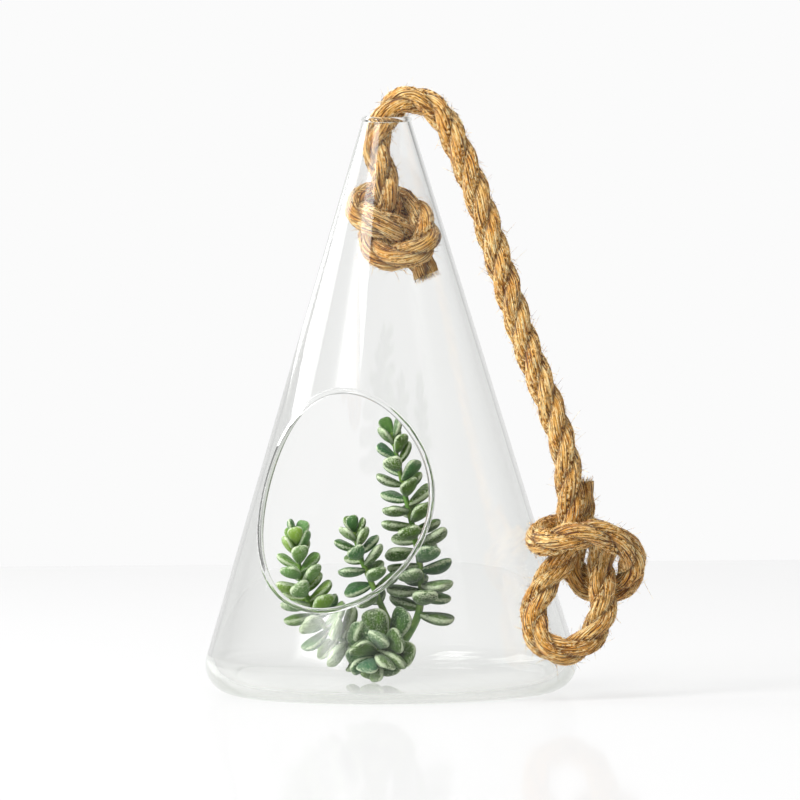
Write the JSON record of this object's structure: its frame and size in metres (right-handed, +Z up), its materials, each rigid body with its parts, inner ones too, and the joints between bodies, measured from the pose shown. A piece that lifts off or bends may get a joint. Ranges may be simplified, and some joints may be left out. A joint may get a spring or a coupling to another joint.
{
  "type": "hanging glass cone vase",
  "caption": "Clear blown-glass cone vase with a narrow neck, an oval side opening, a knotted jute hanging rope and a loose succulent cutting inside.",
  "frame": {"origin": "centre of the vase's flat foot, on the surface it stands on", "axes": "+Z up along the cone's axis, -Y towards the camera of the picture, +X to its right"},
  "size_m": [0.1601, 0.1354, 0.221],
  "materials": {
    "clear_glass": "clear blown glass, fire-polished at the rim and round the side opening",
    "jute": "three-strand laid jute, golden tan, slightly hairy",
    "leaves": "plump pale blue-green leaves with a whitish felted bloom, on bright green stems"
  },
  "bodies": {
    "root": {"glass_vase": "clear_glass", "rope": "jute", "succulent": "leaves"}
  },
  "joints": []
}
